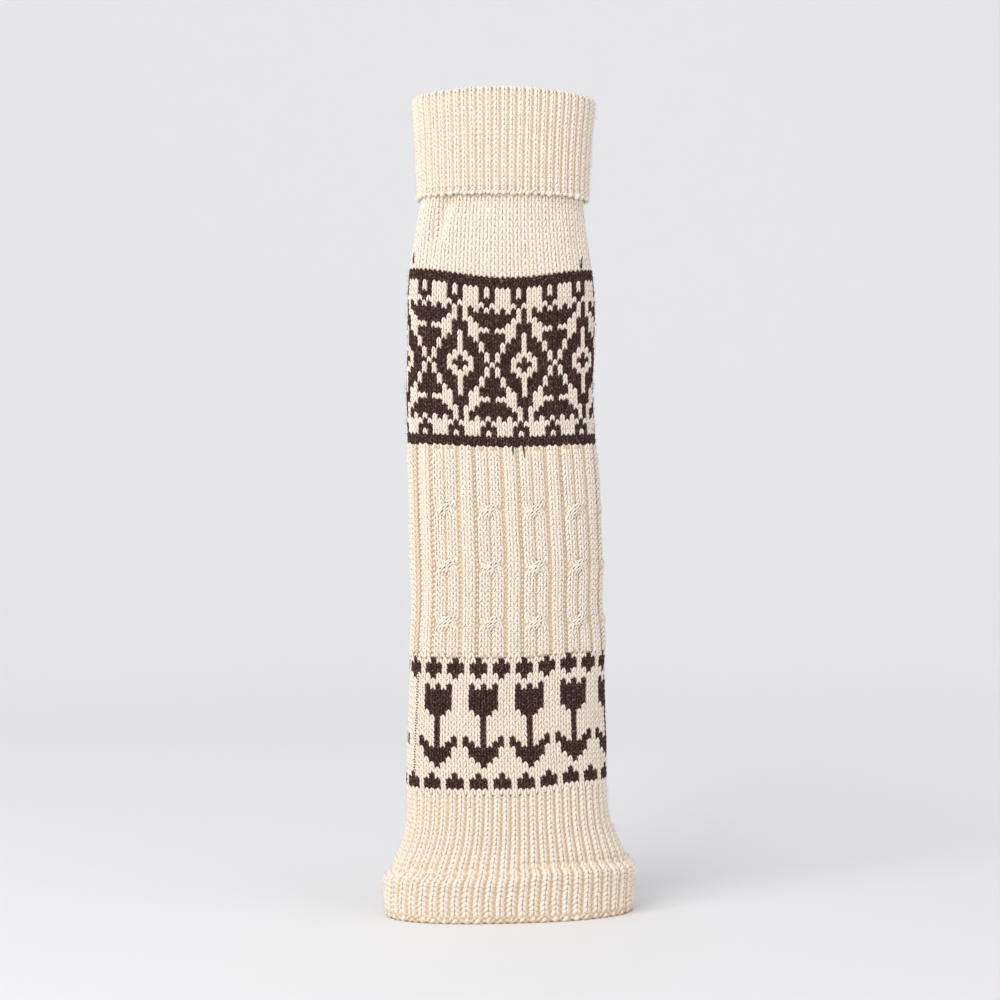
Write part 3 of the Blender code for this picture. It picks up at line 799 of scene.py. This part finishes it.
# wool fuzz: fine hairs standing off the cloth all over
fuzz = dict(cuff=2700, body=4300, band=2400, hem=2900, length=(1.0, 2.8), thickness=.058, pitch=2.7)
grainHair = makeGrain("hair", 3, 3, 1.0, 1.0)


def growFuzz(part, cloth, low, high, finish, keep=None):
    count = fuzz[part]
    around, along = rng.uniform(0, stitchesRound, count), rng.uniform(low, high, count)
    long = rng.uniform(*fuzz["length"], count)
    heading, tip = rng.uniform(0, 2 * math.pi, count), rng.uniform(.25, 1.15, count)
    ones = np.ones(count)
    hairs = dict(around=around, along=along, out=.05 + .4 * long * np.sin(tip),
                 reach=.5 * long * np.cos(tip) * np.cos(heading) + .02,
                 slant=.5 * long * np.cos(tip) * np.sin(heading), bow=rng.normal(0, .18, count),
                 wide=fuzz["thickness"] * ones, thick=fuzz["thickness"] * ones,
                 lean=.5 * long * np.sin(tip), shade=rng.random(count) * .4)
    if keep is not None:
        hairs = pick(hairs, keep(around, along))
    knit("fuzz_" + part, grainHair, cloth, hairs, fuzz["pitch"], finish)


def onCream(around, along):
    # cream hairs keep off the wide band and off the tulips
    row = ((along - tulips["bottom"]) / (tulips["top"] - tulips["bottom"]) * tulips["rows"]).astype(int)
    column = (around - tulips["shift"]).astype(int)
    dark = readChart(tulips)(column, np.clip(row, 0, tulips["rows"] - 1))
    return np.where(along < tulips["top"], ~dark, (along < band["bottom"]) | (along > band["top"] - 2))


growFuzz("cuff", cuffCloth, cuff["edge"], foldAt + 8, creamHair)
growFuzz("body", bodyCloth, 62, 352, creamHair, onCream)
growFuzz("band", bodyCloth, band["bottom"], band["top"], brownHair)
growFuzz("hem", hemCloth, 2, hemTop, creamHair)
print("seam, ends and fuzz made")

# each stretch: its cloth, what rides with it, the size it was cut to in metres, and how it is held
groups = {
    "cuff": (cuffGround, ("cuff_rib", "cuff_lining_rib", "cuff_edge", "fuzz_cuff"), (.215, .104), "folded"),
    "neck": (neckGround, ("neck_knit", "side_seam", "fuzz_body"), (.21, .0415), "draped"),
    "band": (bandGround, ("band_cream", "band_brown", "fuzz_band", "loose_ends"), (.221, .0875), "draped"),
    "cable": (cableGround, ("cable_strands", "cable_ribs", "cable_purls"), (.233, .1055), "draped"),
    "tulip": (tulipGround, ("tulip_cream", "tulip_brown", "seam_dots"), (.24, .066), "draped"),
    "hem": (hemGround, ("hem_rib", "hem_edge", "fuzz_hem"), (.265, .066), "draped"),
}
for key, (ground, names, flat, held) in groups.items():
    for piece in [ground] + [pieces[name] for name in names]:
        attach(piece, "root")

# floor, backdrop and light
studio = dict(paper=(.817, .818, .812, 1), size=6, front=-1.0, wallHeight=4, sweep=1.2,
              key=33.5, fill=6.5, back=3.5, air=.69)
bpy.ops.object.select_all(action="DESELECT")
bpy.ops.mesh.primitive_grid_add(
    x_subdivisions=2, y_subdivisions=2, size=studio["size"], location=(0, studio["front"], 0))
floor = bpy.context.object
floor.name = "floor"
bpy.ops.object.mode_set(mode="EDIT")
bpy.ops.mesh.select_all(action="DESELECT")
bpy.ops.object.mode_set(mode="OBJECT")
for vertex in floor.data.vertices:
    vertex.select = vertex.co.y > studio["size"] / 2 - .1
bpy.ops.object.mode_set(mode="EDIT")
bpy.ops.mesh.extrude_region_move(TRANSFORM_OT_translate={"value": (0, 0, studio["wallHeight"])})
bpy.ops.object.mode_set(mode="OBJECT")
bend = floor.modifiers.new("sweep", "BEVEL")
bend.width, bend.segments, bend.angle_limit = studio["sweep"], 24, math.radians(40)
bpy.ops.object.modifier_apply(modifier=bend.name)
bpy.ops.object.shade_smooth()
paper = bpy.data.materials.new("paper")
paper.use_nodes = True
paper.node_tree.nodes["Principled BSDF"].inputs["Base Color"].default_value = studio["paper"]
paper.node_tree.nodes["Principled BSDF"].inputs["Roughness"].default_value = .8
floor.data.materials.append(paper)


def softLamp(name, place, target, size, power, colour):
    bpy.ops.object.light_add(type="AREA", location=place)
    lamp = bpy.context.object
    lamp.name = name
    lamp.data.size, lamp.data.energy, lamp.data.color = size, power, colour
    lamp.rotation_euler = (Vector(target) - Vector(place)).to_track_quat("-Z", "Y").to_euler()


softLamp("keyLamp", (-1.4, -1.25, 1.2), (0, 0, .15), 1.6, studio["key"], (1, .99, .975))
softLamp("fillLamp", (1.5, -1.2, .8), (0, 0, .2), 1.6, studio["fill"], (.96, .97, 1))
softLamp("backLamp", (1.3, .3, 1.0), (.7, 2.9, .6), 1.0, studio["back"], (.97, .97, 1))
world = bpy.data.worlds.new("studioAir")
world.use_nodes = True
world.node_tree.nodes["Background"].inputs[0].default_value = (.94, .94, 1.0, 1)
world.node_tree.nodes["Background"].inputs[1].default_value = studio["air"]
bpy.context.scene.world = world
print("studio lit")
